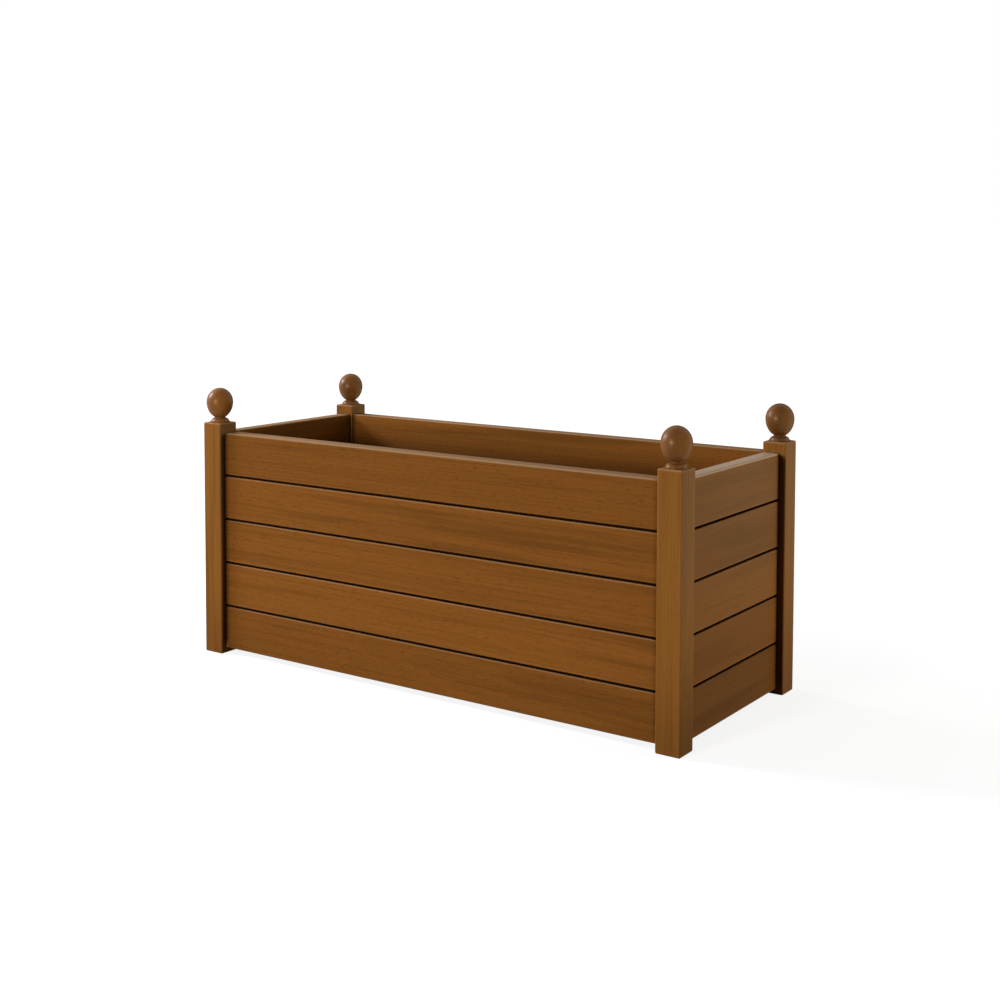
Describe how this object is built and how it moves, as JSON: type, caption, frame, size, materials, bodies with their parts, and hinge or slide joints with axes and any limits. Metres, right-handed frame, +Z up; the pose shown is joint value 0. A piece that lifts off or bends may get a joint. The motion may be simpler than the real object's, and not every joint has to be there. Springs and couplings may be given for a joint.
{
  "type": "trough planter",
  "caption": "Rectangular timber trough planter with tongue-and-groove board sides between corner posts, ball finials and a slatted drainage floor.",
  "frame": {"origin": "centre of the plan, on the ground under the post feet", "axes": "+X along the length, to the right as seen from the front, +Y from front to back, +Z up"},
  "size_m": [1.056, 0.441, 0.52],
  "materials": {
    "board_timber": "brown translucent wood stain, satin",
    "post_timber": "brown translucent wood stain, satin",
    "finial_timber": "brown translucent wood stain, semi-gloss",
    "floor_timber": "brown wood preservative, matt",
    "fastener_steel": "zinc-plated"
  },
  "bodies": {
    "root": {"corner_post_front_left": "post_timber", "corner_post_front_right": "post_timber", "corner_post_back_right": "post_timber", "corner_post_back_left": "post_timber", "finial_front_left": "finial_timber", "finial_front_right": "finial_timber", "finial_back_right": "finial_timber", "finial_back_left": "finial_timber", "front_board_1": "board_timber", "front_board_2": "board_timber", "front_board_3": "board_timber", "front_board_4": "board_timber", "front_board_5": "board_timber", "right_board_1": "board_timber", "right_board_2": "board_timber", "right_board_3": "board_timber", "right_board_4": "board_timber", "right_board_5": "board_timber", "back_board_1": "board_timber", "back_board_2": "board_timber", "back_board_3": "board_timber", "back_board_4": "board_timber", "back_board_5": "board_timber", "left_board_1": "board_timber", "left_board_2": "board_timber", "left_board_3": "board_timber", "left_board_4": "board_timber", "left_board_5": "board_timber", "front_bearer": "floor_timber", "back_bearer": "floor_timber", "floor_slat_1": "floor_timber", "floor_slat_2": "floor_timber", "floor_slat_3": "floor_timber", "floor_slat_4": "floor_timber", "floor_slat_5": "floor_timber", "floor_slat_6": "floor_timber", "floor_slat_7": "floor_timber", "floor_slat_8": "floor_timber", "floor_slat_9": "floor_timber", "floor_slat_10": "floor_timber", "finial_studs": "fastener_steel", "floor_screws": "fastener_steel", "bearer_screws": "fastener_steel"}
  },
  "joints": []
}
